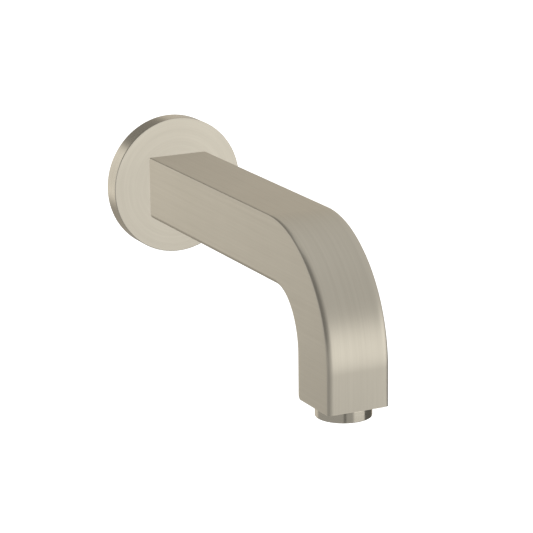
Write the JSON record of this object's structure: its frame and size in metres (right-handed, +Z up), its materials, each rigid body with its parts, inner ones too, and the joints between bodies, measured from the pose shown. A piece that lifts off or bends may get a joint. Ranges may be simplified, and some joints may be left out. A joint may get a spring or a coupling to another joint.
{
  "type": "wall mounted bath spout",
  "caption": "Wall mounted bath spout: square brushed nickel arm on a round cover plate, curving down to a short leg with a screw-in aerator, held on a threaded wall nipple.",
  "frame": {"origin": "on the finished wall plane, at the axis of the wall nipple, which is also the arm's and the cover plate's axis", "axes": "+Z up, +Y into the wall so the spout reaches out along -Y, +X to the right of someone facing the wall"},
  "size_m": [0.06, 0.1905, 0.0908],
  "materials": {
    "brushed_nickel": "brushed nickel over brass, brushed lengthwise",
    "turned_nickel": "brushed nickel over brass, face turned in fine circles",
    "ring_nickel": "satin nickel over brass, turned",
    "brass": "machined",
    "steel": "stainless",
    "rubber": "moulded black rubber",
    "foam": "closed cell foam rubber",
    "fibre": "pressed red fibre washer",
    "acetal": "moulded acetal"
  },
  "bodies": {
    "spout": {"spout_body": "brushed_nickel", "escutcheon": "turned_nickel", "escutcheon_gasket": "foam", "escutcheon_oring": "rubber", "wall_nipple": "brass", "nipple_washer": "fibre", "sleeve_oring_rear": "rubber", "sleeve_oring_front": "rubber"},
    "aerator_insert": {"aerator_cartridge": "acetal", "aerator_gasket": "rubber", "filter_dome": "acetal", "jet_plate": "acetal", "diffuser_ring": "acetal", "screen_upper": "steel", "screen_middle": "steel", "screen_lower": "steel", "outlet_grid": "acetal"},
    "aerator_ring": {"aerator_housing": "ring_nickel"},
    "latch": {"grub_screw": "steel"}
  },
  "joints": [
    {"name": "aerator_travel", "type": "slide", "parent": "spout", "child": "aerator_insert", "axis": [0, 0, -1], "range_m": [0, 0.006]},
    {"name": "aerator_turn", "type": "hinge", "parent": "aerator_insert", "child": "aerator_ring", "pos_m": [0, -0.1638, -0.05595], "axis": [0, 0, -1], "range_deg": [0, 2160]},
    {"name": "grub_screw_travel", "type": "slide", "parent": "spout", "child": "latch", "axis": [0, 0, -1], "range_m": [0, 0.003]}
  ],
  "couplings": [
    {"joint": "aerator_travel", "follows": "aerator_turn", "m_per_rad": 0.00015915}
  ]
}
